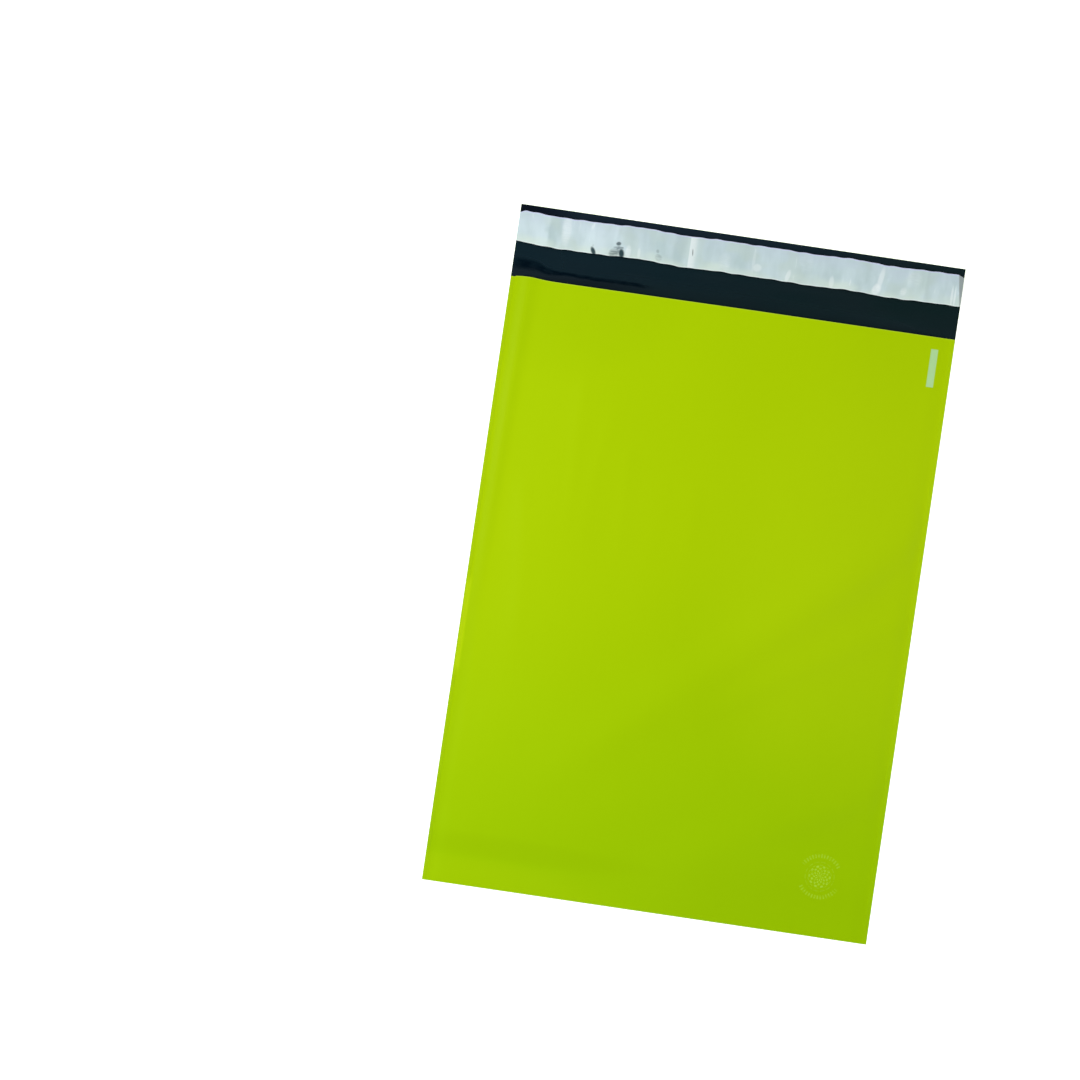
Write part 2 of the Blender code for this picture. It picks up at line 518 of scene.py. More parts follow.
@dataclass(frozen=True)
class LimeFilm:
    """The outside of the bag: opaque lime film with a soft gloss, and what is printed on its front."""

    upper: Colour = (0.399, 0.593, 0.0006)
    lower: Colour = (0.322, 0.552, 0.0006)
    # Light and dark give the film's random tone and its darker welds, and also its painted light, painted
    # highlight and painted shade.
    light: Colour = (0.470, 0.665, 0.004)
    dark: Colour = (0.250, 0.420, 0.0)
    # A painted highlight along the front's cut edge at the mouth.
    edge_highlight: Colour = (0.640, 0.820, 0.070)
    rim_edge: Point = (0.0005, 0.0001)
    edge_highlight_share: float = 0.4
    fade_slant: float = 0.25
    fade_span: Point = (0.4, 1.12)
    fold_soft: float = 0.0005
    weld_soft: float = 0.0004
    weld_shade: float = 0.08
    # Painted shade between the left weld and the ridge beside it.
    hollow_path: Point = (0.0135, -0.0385)
    hollow_edge: Point = (0.0045, -0.0015)
    hollow_start: Point = (0.0010, 0.0045)
    hollow_shade: float = 0.12
    # A painted highlight: the thin bright streak by the left edge.
    streak_middle: float = 0.0017
    streak_edge: Point = (0.0019, 0.0004)
    streak_span: Point = (0.156, 0.203)
    streak_soft: float = 0.004
    streak_shine: float = 0.8
    cloud_size: float = 0.035
    line_size: float = 0.0035
    grain_size: float = 0.0022
    crimp_size: float = 0.006
    cloudiness: float = 0.06
    lininess: float = 0.036
    line_depth: float = 0.00002
    grain_depth: float = 0.00001
    crimp_depth: float = 0.00008
    specular: float = 0.4
    roughness: float = 0.18
    cloud_gloss: float = 0.05
    grain_gloss: float = 0.03
    weld_gloss: float = 0.08
    bar: BarMark = BarMark()
    round_mark: RoundMark = RoundMark()
    # Soft ovals of painted light and painted shade on the front.
    painted_light_and_shade: tuple[PaintedLightShadeArea, ...] = (
        PaintedLightShadeArea(0.2050, 0.1300, 0.100, 0.1400, 0.30),
        PaintedLightShadeArea(0.0250, 0.0000, 0.080, 0.0550, -0.11),
        PaintedLightShadeArea(0.1850, 0.3050, 0.085, 0.0350, -0.16),
        PaintedLightShadeArea(0.0150, 0.3090, 0.100, 0.0170, 0.17),
        PaintedLightShadeArea(0.0400, 0.2905, 0.090, 0.0080, -0.14),
    )

    def dress(self, surface: Surface, bag: BagPlan) -> None:
        """Fills in the material of the film's outside.

        Args:
            surface: The material's nodes.
            bag: The bag's plan, which places the prints.
        """
        blank = surface.blank()
        across, along, _ = surface.split(blank)
        clouds = surface.noise(blank, self.cloud_size, (1.0, 0.45, 1.0))
        lines = surface.noise(blank, self.line_size, (1.0, 0.04, 1.0))
        grain = surface.noise(blank, self.grain_size)
        fade = along / bag.front + across / bag.width * self.fade_slant
        body = surface.mix(fade.rise(*self.fade_span), self.upper, self.lower)
        on_front = along.rise(bag.front + self.fold_soft, bag.front - self.fold_soft)
        # Random cloudy tone and lines, plus the painted light and painted shade of the ovals.
        painted_light_and_shade = sum(area.mask(across, along) for area in self.painted_light_and_shade)
        shade = (clouds - 0.5) * self.cloudiness + (lines - 0.5) * self.lininess + painted_light_and_shade * on_front
        body = surface.mix(shade.most(0.0), body, self.light)
        body = surface.mix((shade * -1.0).most(0.0), body, self.dark)
        weld = abs(across - bag.side_x).rise(bag.pocket_x - self.weld_soft, bag.pocket_x + self.weld_soft)
        body = surface.mix(weld * self.weld_shade, body, self.dark)
        # Painted shade beside the left ridge.
        body = surface.mix(self._ridge_painted_shade(across, along) * on_front, body, self.dark)
        # Painted highlight streak at the left edge.
        body = surface.mix(self._edge_painted_highlight(across, along) * on_front, body, self.light)
        for mark in (self.round_mark, self.bar):
            ink = mark.mask(surface, bag, across, along)
            body = surface.mix(ink * on_front, body, mark.colour)
        # Painted highlight along the cut edge at the mouth.
        body = surface.mix(along.rise(*self.rim_edge) * self.edge_highlight_share, body, self.edge_highlight)
        surface.set(Base_Color=body)
        gloss = (clouds - 0.5) * self.cloud_gloss + (grain - 0.5) * self.grain_gloss
        gloss = gloss + weld * self.weld_gloss + self.roughness
        surface.set(Roughness=gloss, Specular_IOR_Level=self.specular, IOR=FILM_IOR)
        crimp = surface.noise(blank, self.crimp_size, (1.0, 6.0, 1.0)) * weld
        bumps = (grain, self.grain_depth), (lines, self.line_depth), (crimp, self.crimp_depth)
        surface.set(Normal=surface.bump(*bumps))

    def _ridge_painted_shade(self, across: Wire, along: Wire) -> Wire:
        """Lays out painted shade on the film between the left weld and the ridge beside it.

        Args:
            across: The place across the blank.
            along: The place along it, from the mouth.

        Returns:
            How far the film passes to its dark tone, which is painted shade.
        """
        start, slope = self.hollow_path
        path = along * slope + start
        beside = across.rise(path + self.hollow_edge[0], path + self.hollow_edge[1])
        return beside * across.rise(*self.hollow_start) * self.hollow_shade

    def _edge_painted_highlight(self, across: Wire, along: Wire) -> Wire:
        """The mask of a painted highlight: the thin bright streak at the left edge, half way down."""
        level = along.band(*self.streak_span, self.streak_soft)
        return abs(across - self.streak_middle).rise(*self.streak_edge) * level * self.streak_shine


@dataclass(frozen=True)
class BlackFilm:
    """The inside of the bag, and the flap's near face: bluish black film with a smoother crease, darkened by
    painted shade.
    """

    left: Colour = (0.0044, 0.0152, 0.0222)
    right: Colour = (0.0042, 0.0142, 0.0152)
    margin: Colour = (0.0080, 0.0155, 0.0270)
    below: Colour = (0.0080, 0.0140, 0.0200)
    # The crease's dark colour is painted shade.
    crease: Colour = (0.0009, 0.0048, 0.0095)
    # Painted shadow in the tip's left corner.
    corner: Colour = (0.0003, 0.0014, 0.0060)
    mouth_painted_light: Colour = (0.0090, 0.0225, 0.0270)
    flap_start: Point = (-0.0005, 0.0)
    below_edge: Point = (-0.0004, 0.0012)
    below_span: Point = (0.1, 0.04)
    below_shares: Point = (0.5, 0.15)
    margin_edge: Point = (0.0050, 0.0034)
    margin_reach: float = 1.3
    # Where the painted shadow in the corner lies, and how strong it is.
    corner_shadow_span: Point = (0.036, 0.004)
    corner_shadow_share: float = 0.8
    # Painted light on the flap by the mouth, in its middle.
    mouth_edge: Point = (0.0100, 0.0005)
    mouth_span: Point = (0.055, 0.205)
    mouth_soft: float = 0.02
    mouth_share: float = 0.7
    crease_span: Point = (0.0745, 0.0625)
    crease_start: Point = (-0.002, 0.004)
    crease_width: float = 0.0012
    crease_wider: float = 0.00225
    wider_span: Point = (0.030, 0.004)
    waver_size: float = 0.012
    waver_reach: float = 0.0022
    crease_edge: Point = (1.15, 0.25)
    blotch_size: float = 0.0045
    blotch_squash: float = 2.5
    blotch_edge: Point = (0.36, 0.6)
    blotch_depth: float = 0.35
    cloud_size: float = 0.018
    cloud_edge: Point = (0.35, 0.7)
    cloud_share: float = 0.25
    grain_size: float = 0.0022
    rub_size: float = 0.0035
    grain_depth: float = 0.00001
    rub_depth: float = 0.00003
    roughness: float = 0.24
    cloud_gloss: float = 0.08
    rub_gloss: float = 0.06
    crease_gloss: float = 0.1

    def dress(self, surface: Surface, bag: BagPlan) -> None:
        """Fills in the material of the film's inside.

        Args:
            surface: The material's nodes.
            bag: The bag's plan, which places the crease on the flap.
        """
        blank = surface.blank()
        across, along, _ = surface.split(blank)
        up = along - (bag.blank - bag.flap)
        clouds = surface.noise(blank, self.cloud_size, (0.35, 1.0, 1.0))
        grain = surface.noise(blank, self.grain_size)
        rub = surface.noise(blank, self.rub_size, (0.12, 1.0, 1.0))
        body = surface.mix(across.rise(0.0, bag.width), self.left, self.right)
        path = bag.crease_up(across)
        on_flap = up.rise(*self.flap_start)
        lower = (path - up).rise(*self.below_edge) * on_flap
        at_left, everywhere = self.below_shares
        share = across.rise(*self.below_span) * at_left + everywhere
        body = surface.mix(lower * share, body, self.below)
        tip = up.rise(bag.flap - self.margin_edge[0], bag.flap - self.margin_edge[1])
        body = surface.mix(tip * across.rise(bag.width * self.margin_reach, 0.0), body, self.margin)
        # Painted shadow in the tip's left corner.
        body = surface.mix(tip * across.rise(*self.corner_shadow_span) * self.corner_shadow_share, body, self.corner)
        # Painted light on the flap by the mouth.
        middle = across.band(*self.mouth_span, self.mouth_soft) * on_flap
        body = surface.mix(up.rise(*self.mouth_edge) * middle * self.mouth_share, body, self.mouth_painted_light)
        body = surface.mix(clouds.rise(*self.cloud_edge) * self.cloud_share, body, self.below)
        # Painted shade along the long crease.
        crease = self._crease_painted_shade(surface, across, up, path)
        body = surface.mix(crease, body, self.crease)
        surface.set(Base_Color=body)
        gloss = (clouds - 0.5) * self.cloud_gloss + (rub - 0.5) * self.rub_gloss
        gloss = gloss - crease * self.crease_gloss + self.roughness
        surface.set(Roughness=gloss, IOR=FILM_IOR)
        surface.set(Normal=surface.bump((grain, self.grain_depth), (rub, self.rub_depth)))

    def _crease_painted_shade(self, surface: Surface, across: Wire, up: Wire, path: Wire) -> Wire:
        """Lays out the painted shade of the long crease in the flap's left third, thicker and blotched at its
        left end.

        Args:
            surface: The material's nodes.
            across: The place across the blank.
            up: The place up the flap, from the mouth.
            path: How far up the flap the crease runs there.

        Returns:
            How far the film passes to the crease's tone, which is painted shade.
        """
        waver = surface.noise(surface.join(across, 0.0), self.waver_size) - 0.5
        away = abs(up - path + waver * self.waver_reach)
        width = across.rise(*self.wider_span) * self.crease_wider + self.crease_width
        fade = across.rise(*self.crease_span) * across.rise(*self.crease_start)
        squashed = surface.join(across, up * self.blotch_squash)
        blotch = surface.noise(squashed, self.blotch_size).rise(*self.blotch_edge)
        blotch = blotch * self.blotch_depth + (1 - self.blotch_depth)
        return (away / width).rise(*self.crease_edge) * fade * blotch


@dataclass(frozen=True)
class Speck:
    """A soft speck on the liner: its middle, half its size, its strength, its lean and how streaky it is."""

    across: float
    up: float
    wide: float
    high: float
    strength: float
    lean: float = 0.0
    streaky: float = 0.0


@dataclass(frozen=True)
class ToneBand:
    """A band of another tone across the liner: its middle, half its width, and how much paler it is."""

    across: float
    half: float
    paler: float


@dataclass(frozen=True)
class SilverLiner:
    """The release liner: thin, slick, pale silvery film with a bluish cast."""

    pale: Colour = (0.625, 0.755, 0.795)
    grey: Colour = (0.465, 0.595, 0.605)
    upper_tint: Colour = (0.500, 0.600, 0.690)
    lower_tint: Colour = (0.670, 0.790, 0.690)
    warm_tint: Colour = (0.500, 0.620, 0.570)
    lilac: Colour = (0.620, 0.620, 0.900)
    glint: Colour = (0.860, 0.930, 0.930)
    dark: Colour = (0.030, 0.060, 0.070)
    # Grey where the black film shows through the liner's right end, and painted shade where it turns down.
    end_grey_and_shade: Colour = (0.270, 0.310, 0.300)
    fold_size: float = 0.0075
    fold_tone: float = 1.3
    fold_depth: float = 0.00012
    fold_gloss: float = 0.1
    fine_size: float = 0.0030
    fine_tone: float = 0.5
    fine_depth: float = 0.00005
    left_span: Point = (0.066, 0.040)
    left_tone: float = 0.42
    base_tone: float = 0.42
    tint_size: float = 0.0110
    tint_stray: float = 0.012
    tint_rise: float = 0.9
    upper_span: Point = (0.45, 1.1)
    upper_share: float = 0.45
    lower_span: Point = (0.35, -0.15)
    lower_share: float = 0.7
    warm_size: float = 0.017
    warm_edge: Point = (0.48, 0.62)
    warm_share: float = 0.45
    splice_rise: Point = (0.0878, 0.0884)
    splice_fall: Point = (0.0928, 0.0898)
    splice_shine: float = 0.6
    # A painted highlight along the liner's lower edge.
    rim_edge: Point = (0.0006, 0.0001)
    rim_shine: float = 0.5
    fine_edge: Point = (0.62, 0.78)
    fold_edge: Point = (0.45, 0.62)
    fine_shine: float = 0.45
    glint_shine: float = 0.85
    speck_edge: Point = (1.3, 0.2)
    streak_size: float = 0.0009
    streak_stretch: float = 0.25
    streak_edge: Point = (0.38, 0.6)
    band_core: float = 0.2
    lilac_edge: Point = (0.0008, 0.0002)
    lilac_share: float = 0.6
    end_width: Point = (0.0005, 0.0029)
    end_soft: float = 0.0004
    end_share: float = 0.85
    roughness: float = 0.22
    specks: tuple[Speck, ...] = (
        Speck(0.0396, 0.0013, 0.0013, 0.0024, 0.98, -0.40),
        Speck(0.0392, 0.0041, 0.0006, 0.0007, 0.16),
        Speck(0.0520, 0.0065, 0.0014, 0.0011, 0.80),
        Speck(0.0509, 0.0046, 0.0016, 0.0005, 0.50, streaky=0.5),
        Speck(0.0538, 0.0045, 0.0012, 0.0005, 0.70, streaky=0.4),
        Speck(0.0524, 0.0032, 0.0016, 0.0024, 0.62, streaky=0.7),
        Speck(0.0540, 0.0016, 0.0016, 0.0027, 1.00, -0.15),
        Speck(0.0502, 0.0013, 0.0028, 0.0028, 0.66, streaky=0.5),
        Speck(0.0722, 0.0056, 0.0009, 0.0010, 0.28),
        Speck(0.0730, 0.0026, 0.0020, 0.0018, 0.30, streaky=0.7),
        Speck(0.0899, 0.0080, 0.0003, 0.0020, 0.70, -0.10),
    )
    glints: tuple[Speck, ...] = (
        Speck(0.0248, 0.0100, 0.0026, 0.0085, 0.40, streaky=0.3),
        Speck(0.0573, 0.0030, 0.0016, 0.0036, 0.60, streaky=0.3),
        Speck(0.0628, 0.0028, 0.0009, 0.0030, 0.40),
        Speck(0.1068, 0.0055, 0.0034, 0.0045, 0.25, streaky=0.5),
        Speck(0.1233, 0.0048, 0.0027, 0.0022, 0.45),
        Speck(0.1213, 0.0075, 0.0009, 0.0062, 0.25),
        Speck(0.1395, 0.0030, 0.0013, 0.0035, 0.50, 0.20),
        Speck(0.1480, 0.0110, 0.0040, 0.0050, 0.16, streaky=0.6),
        Speck(0.1619, 0.0030, 0.0014, 0.0034, 0.42),
        Speck(0.1850, 0.0028, 0.0024, 0.0038, 0.85, 0.25, streaky=0.3),
        Speck(0.1866, 0.0085, 0.0015, 0.0070, 0.50, 0.15),
        Speck(0.1988, 0.0040, 0.0018, 0.0024, 0.45, 0.20, streaky=0.4),
        Speck(0.2036, 0.0110, 0.0040, 0.0045, 0.18, streaky=0.6),
        Speck(0.2236, 0.0045, 0.0007, 0.0060, 0.55),
        Speck(0.2251, 0.0045, 0.0006, 0.0060, 0.55),
    )
    bands: tuple[ToneBand, ...] = (
        ToneBand(0.0185, 0.0050, -0.75),
        ToneBand(0.0300, 0.0040, -0.20),
        ToneBand(0.0420, 0.0045, 0.25),
        ToneBand(0.0735, 0.0065, -0.25),
        ToneBand(0.0840, 0.0044, -0.45),
        ToneBand(0.1135, 0.0055, -0.25),
        ToneBand(0.1780, 0.0030, -0.25),
        ToneBand(0.2205, 0.0030, 0.25),
    )

    def dress(self, surface: Surface, bag: BagPlan) -> None:
        """Fills in the liner's material.

        Args:
            surface: The material's nodes.
            bag: The bag's plan.
        """
        blank = surface.blank()
        across, up, _ = surface.split(blank)
        folds = surface.noise(blank, self.fold_size, (1.0, 0.45, 1.0))
        fine = surface.noise(blank, self.fine_size, (1.0, 0.30, 1.0))
        tint = surface.noise(blank, self.tint_size, (0.7, 1.0, 1.0))
        tone = (folds - 0.5) * self.fold_tone + (fine - 0.5) * self.fine_tone
        tone = tone + across.rise(*self.left_span) * self.left_tone + self.base_tone
        strayed = across + (tint - 0.5) * self.tint_stray
        for band in self.bands:
            tone = tone + abs(strayed - band.across).rise(band.half, band.half * self.band_core) * band.paler
        body = surface.mix(tone.most(0.0).least(1.0), self.grey, self.pale)
        height = up / bag.liner_width + (tint - 0.5) * self.tint_rise
        body = surface.mix(height.rise(*self.upper_span) * self.upper_share, body, self.upper_tint)
        warm = surface.noise(blank, self.warm_size).rise(*self.warm_edge)
        body = surface.mix(warm * self.warm_share, body, self.warm_tint)
        body = surface.mix(height.rise(*self.lower_span) * self.lower_share, body, self.lower_tint)
        splice = across.rise(*self.splice_rise) * across.rise(*self.splice_fall) * self.splice_shine
        # Painted highlight along the lower edge.
        edge_highlight = up.rise(*self.rim_edge) * self.rim_shine
        shine = fine.rise(*self.fine_edge) * folds.rise(*self.fold_edge) * self.fine_shine
        shine = shine.most(self._spots(surface, across, up, self.glints) * self.glint_shine)
        body = surface.mix(shine.most(splice).most(edge_highlight), body, self.glint)
        top = up.rise(bag.liner_width - self.lilac_edge[0], bag.liner_width - self.lilac_edge[1])
        body = surface.mix(top * self.lilac_share, body, self.lilac)
        # The right end: grey where the black film shows through, and painted shade where it turns down.
        body = surface.mix(self._end(bag, across, up) * self.end_share, body, self.end_grey_and_shade)
        body = surface.mix(self._spots(surface, across, up, self.specks), body, self.dark)
        surface.set(Base_Color=body)
        surface.set(Roughness=(folds - 0.5) * self.fold_gloss + self.roughness, IOR=FILM_IOR)
        surface.set(Normal=surface.bump((folds, self.fold_depth), (fine, self.fine_depth)))

    def _end(self, bag: BagPlan, across: Wire, up: Wire) -> Wire:
        """Lays out the sliver at the liner's right end, past the adhesive: grey where the black film shows
        through it, and painted shade where it turns down.

        Args:
            bag: The bag's plan.
            across: The place across the liner.
            up: The place up it, from its lower edge.

        Returns:
            The sliver's mask.
        """
        low, high = self.end_width
        reach = up / bag.liner_width * (high - low) + low
        return ((bag.width - across) - reach).rise(self.end_soft, -self.end_soft)

    def _spots(self, surface: Surface, across: Wire, up: Wire, spots: Sequence[Speck]) -> Wire:
        """Lays out specks: dark ones, or bright painted glints where it shines.

        Args:
            surface: The material's nodes.
            across: The place across the liner.
            up: The place up it, from its lower edge.
            spots: The specks.

        Returns:
            The strength of the strongest speck at each place.
        """
        stretched = surface.join(across * self.streak_stretch, up)
        streaks = surface.noise(stretched, self.streak_size).rise(*self.streak_edge)
        mask: Wire | None = None
        for speck in spots:
            rise = up - speck.up
            side, level = (across - speck.across - rise * speck.lean) / speck.wide, rise / speck.high
            form = (side * side + level * level).rise(*self.speck_edge) * speck.strength
            if speck.streaky:
                form = form * (streaks * speck.streaky + (1 - speck.streaky))
            mask = form if mask is None else mask.most(form)
        return mask


@dataclass(frozen=True)
class ClearAdhesive:
    """The adhesive's finish: a clear, faintly yellow, tacky layer with fine coating lines."""

    colour: Colour = (0.60, 0.55, 0.42)
    pale: Colour = (0.74, 0.70, 0.60)
    line_size: float = 0.0012
    line_depth: float = 0.00003
    line_gloss: float = 0.1
    roughness: float = 0.22

    def dress(self, surface: Surface) -> None:
        """Fills in the adhesive's material.

        Args:
            surface: Its nodes.
        """
        lines = surface.noise(surface.place(), self.line_size, (0.05, 1.0, 1.0))
        surface.set(Base_Color=surface.mix(lines * 0.5, self.colour, self.pale))
        surface.set(Roughness=(lines - 0.5) * self.line_gloss + self.roughness, IOR=ADHESIVE_IOR)
        surface.set(Normal=surface.bump((lines, self.line_depth)))


# Shapes


def smooth(share: Grid) -> Grid:
    """0 up to 1 with level ends, as share goes from 0 to 1."""
    share = np.clip(share, 0.0, 1.0)
    return share * share * (3 - 2 * share)


@dataclass(frozen=True)
class SoftFold:
    """A long low ridge in the film between two points, in metres.

    The flank on the left of the way from start to end may be steeper, and the crest may bow.
    """

    start: Point
    end: Point
    height: float
    spread: float
    fade_in: float = 0.02
    fade_out: float = 0.34
    bow: float = 0.0
    steep: float = 1.0

    def lift(self, x: Grid, y: Grid) -> Grid:
        """How far the ridge lifts the film.

        Args:
            x: Places across the bag.
            y: Places along the bag.

        Returns:
            The lift at each place.
        """
        ax, ay = self.end[0] - self.start[0], self.end[1] - self.start[1]
        length = math.hypot(ax, ay)
        share = ((x - self.start[0]) * ax + (y - self.start[1]) * ay) / length**2
        aside = ((x - self.start[0]) * ay - (y - self.start[1]) * ax) / length
        aside = aside - self.bow * np.sin(np.pi * np.clip(share, 0.0, 1.0))
        past = (share - np.clip(share, 0.0, 1.0)) * length
        spread = np.where(aside < 0, self.spread / self.steep, self.spread)
        fade = smooth((1 - share) / self.fade_out) * smooth(share / self.fade_in + 1)
        return self.height * fade * np.exp(-(aside**2 + past**2) / spread**2)


class ThinSheet:
    """A sheet of film made from a grid of points, with its own blank as a UV map."""

    def __init__(self, name: str, points: Grid, blank: Grid) -> None:
        """Makes the sheet's middle surface.

        Args:
            name: The piece's name.
            points: Rows by columns by three: the sheet's points.
            blank: Rows by columns by two: the same points on the flat blank.
        """
        rows, columns = points.shape[:2]
        number = np.arange(rows * columns).reshape(rows, columns)
        corners = (number[:-1, :-1], number[1:, :-1], number[1:, 1:], number[:-1, 1:])
        quads = np.stack(corners, axis=-1).reshape(-1, 4)
        mesh = bpy.data.meshes.new(name)
        mesh.from_pydata(points.reshape(-1, 3).tolist(), [], quads.tolist())
        layer = mesh.uv_layers.new(name=BLANK_UV)
        layer.data.foreach_set("uv", blank.reshape(-1, 2)[quads.ravel()].ravel())
        mesh.update()
        self.piece = bpy.data.objects.new(name, mesh)
        bpy.context.scene.collection.objects.link(self.piece)

    def thicken(self, thickness: float, outside: Surface, inside: Surface | None = None) -> None:
        """Gives the sheet its thickness and its materials.

        Args:
            thickness: The film's thickness.
            outside: The material of the face that the grid's faces point to.
            inside: The material of the other face, if it differs.
        """
        self.piece.data.materials.append(outside.material)
        solidify = self.piece.modifiers.new("Thickness", "SOLIDIFY")
        solidify.thickness = thickness
        solidify.offset = 0.0
        if inside is not None:
            self.piece.data.materials.append(inside.material)
            solidify.material_offset = 1
        bpy.ops.object.select_all(action="DESELECT")
        bpy.context.view_layer.objects.active = self.piece
        self.piece.select_set(True)
        bpy.ops.object.modifier_apply(modifier=solidify.name)
        bpy.ops.object.shade_smooth_by_angle(angle=SHARP_ANGLE)


@dataclass
class BagFilm:
    """The bag's film: front panel, bottom fold, back panel and flap, in one sheet."""

    bag: BagPlan
    loft: float = 0.0073
    loft_power: float = 2.1
    fold_ramp: float = 0.1
    mouth_ramp: float = 0.11
    mouth_sink: float = 0.001
    mouth_bulge: float = 0.0008
    bulge_inset: float = 0.0088
    bulge_spread: float = 0.0078
    mouth_pull: float = 0.0003
    mouth_slant: float = 0.0007
    slant_start: float = 0.012
    shift_reach: float = 0.012
    edge_sink: float = 0.6
    edge_reach: float = 0.012
    fold_radius: float = 0.00022
    fold_tightening: float = 0.008
    fold_hold: int = 12
    pucker_step: float = 0.013
    pucker_gap: Point = (0.6, 1.6)
    pucker_reach: Point = (0.006, 0.017)
    pucker_drift: float = 0.004
    pucker_spread: Point = (0.0014, 0.0036)
    pucker_height: float = 0.00011
    pucker_share: Point = (0.3, 1.0)
    pucker_fade: float = 0.8
    pucker_hold: int = 60
    lump_height: float = 0.00016
    lump_count: int = 9
    lump_length: Point = (0.045, 0.13)
    crease_height: float = 0.0002
    crease_spread: float = 0.0012
    crease_end: float = -0.038
    crease_fade: float = 0.03
    even_share: float = 0.35
    columns: int = 122
    front_rows: int = 170
    fold_rows: int = 6
    back_rows: int = 56
    flap_rows: int = 40
    seed: int = 7

    def soft_folds(self) -> list[SoftFold]:
        """Lists the soft folds that the front panel shows.

        Returns:
            The folds: the ridge by the left weld, the slanted folds, the bottom one and the small ones.
        """
        side, mouth = self.bag.side_x, self.bag.mouth_y
        return [
            SoftFold((0.0095 - side, mouth), (0.003 - side, mouth - 0.205), 0.00055, 0.0044, steep=1.2),
            SoftFold((side, mouth - 0.0995), (0.0255 - side, mouth - 0.2770), 0.0011, 0.014, steep=1.35),
            SoftFold((side, mouth - 0.2319), (0.1044 - side, mouth - 0.2932), 0.0009, 0.0115, steep=1.3),
            SoftFold((side, -0.0081), (-0.015, -0.0921), 0.0005, 0.0085, bow=0.003, steep=1.4),
            SoftFold((side, -0.0565), (0.0869, -0.0629), 0.00016, 0.0028),
            SoftFold((-side, -0.1435), (-0.0350, -0.1480), 0.0010, 0.0060, fade_out=0.6, steep=0.8),
            SoftFold((-0.0697, 0.0860), (-0.0667, 0.0046), 0.00020, 0.0034, fade_in=0.3),
            SoftFold((-0.0531, 0.0700), (-0.0561, -0.0150), 0.00018, 0.0030, fade_in=0.3, bow=0.004),
            SoftFold((-0.0417, 0.0560), (-0.0387, -0.0060), 0.00022, 0.0026, fade_in=0.3),
            SoftFold((-0.0048, 0.0400), (-0.0058, 0.0070), 0.00015, 0.0024, fade_in=0.3),
            SoftFold((-0.0925, 0.0300), (-0.0865, -0.0650), 0.00022, 0.0050, fade_in=0.3, bow=-0.003),
            SoftFold((-0.0960, 0.1150), (-0.0480, 0.1040), 0.00016, 0.0030, fade_in=0.3),
            SoftFold((-0.0880, 0.1060), (-0.0560, 0.0960), 0.00014, 0.0026, fade_in=0.3, bow=-0.002),
            SoftFold((0.0050, -0.1700), (0.0420, -0.1600), 0.00030, 0.0050, fade_in=0.3),
        ]

    def puckers(self) -> list[SoftFold]:
        """Draws the short ripples beside the side welds, where the heat has drawn the film together.

        Returns:
            The ripples, each as a fold that runs in from its weld.
        """
        draw = random.Random(self.seed)
        found = []
        for side in Side:
            y = self.bag.fold_y + self.pucker_step
            while y < self.bag.mouth_y - self.pucker_step:
                reach = draw.uniform(*self.pucker_reach)
                start = (side.value * self.bag.pocket_x, y)
                drift = draw.uniform(-self.pucker_drift, self.pucker_drift)
                end = (side.value * (self.bag.pocket_x - reach), y + drift)
                height = self.pucker_height * draw.uniform(*self.pucker_share)
                spread = draw.uniform(*self.pucker_spread)
                found.append(SoftFold(start, end, height, spread, fade_out=self.pucker_fade))
                y += self.pucker_step * draw.uniform(*self.pucker_gap)
        return found

    def lumps(self, x: Grid, y: Grid) -> Grid:
        """The front panel's slow unevenness.

        Args:
            x: Places across the bag.
            y: Places along the bag.

        Returns:
            A height, about 0 on average, at each place.
        """
        draw = random.Random(self.seed + 1)
        total = np.zeros_like(x)
        for _ in range(self.lump_count):
            length = draw.uniform(*self.lump_length)
            heading = draw.uniform(0.0, math.pi)
            phase = draw.uniform(0.0, TURN)
            total += np.sin(TURN * (x * math.cos(heading) + y * math.sin(heading)) / length + phase)
        return self.lump_height * total / math.sqrt(self.lump_count)

    def pocket_height(self, x: Grid, y: Grid) -> Grid:
        """The height of the air between the two panels.

        Args:
            x: Places across the bag.
            y: Places along the bag.

        Returns:
            The height at each place, 0 at the welds and the bottom fold.
        """
        across = np.minimum(np.abs(x) / self.bag.pocket_x, 1.0)
        up = np.clip((y - self.bag.fold_y - self.bag.film) / self.fold_ramp, 0.0, 1.0)
        bottom = 1 - (1 - up) ** 2
        sink = self.mouth_sink * smooth(1 - (self.bag.mouth_y - y) / self.mouth_ramp)
        pillow = (self.loft - sink) * (1 - across**self.loft_power)
        pillow = pillow * (1 - self.edge_sink * np.exp((across - 1) * self.bag.pocket_x / self.edge_reach))
        folds = sum(fold.lift(x, y) for fold in self.soft_folds()) + self.lumps(x, y)
        ripples = sum(fold.lift(x, y) for fold in self.puckers())
        folds = folds * (1 - across**self.fold_hold)
        ripples = ripples * (1 - across**self.pucker_hold)
        return np.maximum((pillow + folds + ripples) * bottom, 0.0)

    def across(self) -> Grid:
        """Places the sheet's columns.

        Returns:
            Their places across the bag, closer together near the welds.
        """
        share = np.linspace(-1.0, 1.0, self.columns)
        rounded = np.sin(share * np.pi / 2)
        places = self.bag.side_x * (share * self.even_share + rounded * (1 - self.even_share))
        for side in Side:
            weld = side.value * self.bag.pocket_x
            places[np.argmin(np.abs(places - weld))] = weld
        return places

